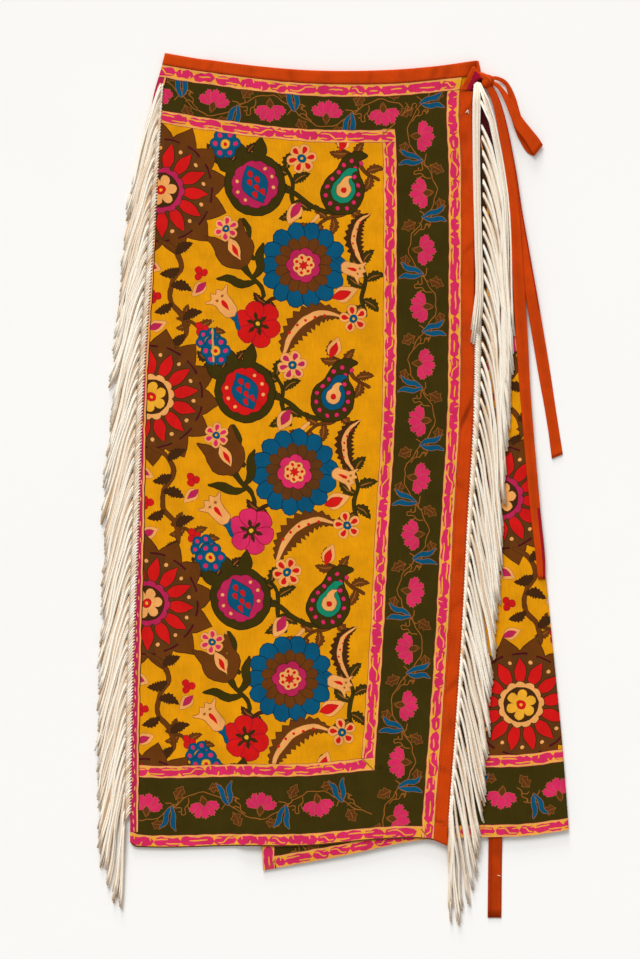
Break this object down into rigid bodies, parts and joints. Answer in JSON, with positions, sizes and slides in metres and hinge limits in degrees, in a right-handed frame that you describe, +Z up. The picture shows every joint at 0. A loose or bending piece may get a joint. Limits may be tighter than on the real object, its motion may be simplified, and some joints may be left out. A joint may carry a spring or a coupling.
{
  "type": "wrap skirt",
  "caption": "Midi wrap skirt of printed cotton laid flat with its waist closed, with orange bindings, a side bow and long ivory fringe down the left side and the free edge.",
  "frame": {"origin": "middle of the part's bounding box, on the surface that the skirt lies on", "axes": "+Y from the hem up to the waist, +Z up off the surface and out of the front, +X to the wearer's left as seen from the front"},
  "size_m": [0.5152, 0.9515, 0.0108],
  "materials": {
    "printed_cotton": "plain woven cotton with a faint sheen, printed",
    "orange_cotton": "plain woven cotton, matt",
    "ivory_fringe": "soft spun cord, matt"
  },
  "bodies": {
    "root": {"front_panel": "printed_cotton", "back_and_underlap": "printed_cotton", "front_waistband": "orange_cotton", "inner_waistband": "orange_cotton", "edge_binding": "orange_cotton", "left_fringe": "ivory_fringe", "right_fringe": "ivory_fringe", "tie_root": "orange_cotton", "bow_knot": "orange_cotton", "bow_loop": "orange_cotton", "upper_tie_end": "orange_cotton", "lower_tie_end": "orange_cotton", "inner_tie": "orange_cotton"}
  },
  "joints": []
}
